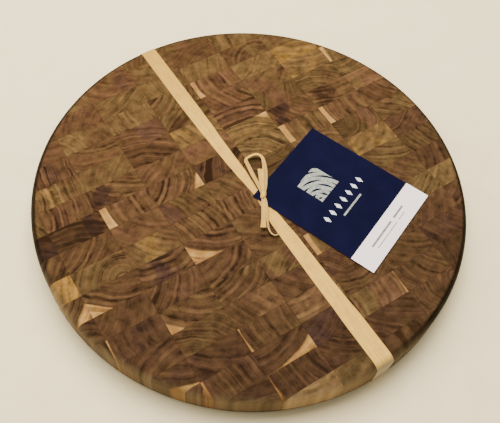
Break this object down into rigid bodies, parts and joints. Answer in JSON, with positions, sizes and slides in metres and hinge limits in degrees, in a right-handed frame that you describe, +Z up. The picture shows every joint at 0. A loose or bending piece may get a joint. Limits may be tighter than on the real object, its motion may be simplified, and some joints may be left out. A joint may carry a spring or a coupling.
{
  "type": "round chopping block",
  "caption": "Thick round end-grain chopping block of glued wooden blocks with softened edges, tied with a flat ribbon in a bow that carries a swinging hang tag",
  "frame": {"origin": "under the centre of the board, on the surface that it rests on (the lowest face of the ribbon)", "axes": "+Z up out of the cutting face; +X along the rows of blocks; +Y across the rows, about along the ribbon"},
  "size_m": [0.3556, 0.3566, 0.0371],
  "materials": {
    "end_grain_wood": "satin",
    "ribbon": "matte",
    "tag_card": "satin",
    "tag_label": "matte"
  },
  "bodies": {
    "board": {"near_row_01": "end_grain_wood", "near_row_02": "end_grain_wood", "near_row_03": "end_grain_wood", "near_row_04": "end_grain_wood", "near_row_05": "end_grain_wood", "near_row_06": "end_grain_wood", "near_row_07": "end_grain_wood", "near_row_08": "end_grain_wood", "near_row_09": "end_grain_wood", "far_row_01": "end_grain_wood", "far_row_02": "end_grain_wood", "far_row_03": "end_grain_wood", "far_row_04": "end_grain_wood", "far_row_05": "end_grain_wood", "far_row_06": "end_grain_wood", "far_row_07": "end_grain_wood", "far_row_08": "end_grain_wood", "far_row_09": "end_grain_wood", "ribbon_band": "ribbon", "ribbon_knot": "ribbon", "bow_loop": "ribbon", "bow_upper_tail": "ribbon", "bow_lower_tail": "ribbon", "bow_curl": "ribbon"},
    "hang_tag": {"tag_card": "tag_card", "tag_label": "tag_label"}
  },
  "joints": [
    {"name": "tag_swivel", "type": "hinge", "parent": "board", "child": "hang_tag", "pos_m": [0.0018, -0.0144, 0.0331], "axis": [0, 0, 1], "range_deg": [-60, 100]}
  ]
}
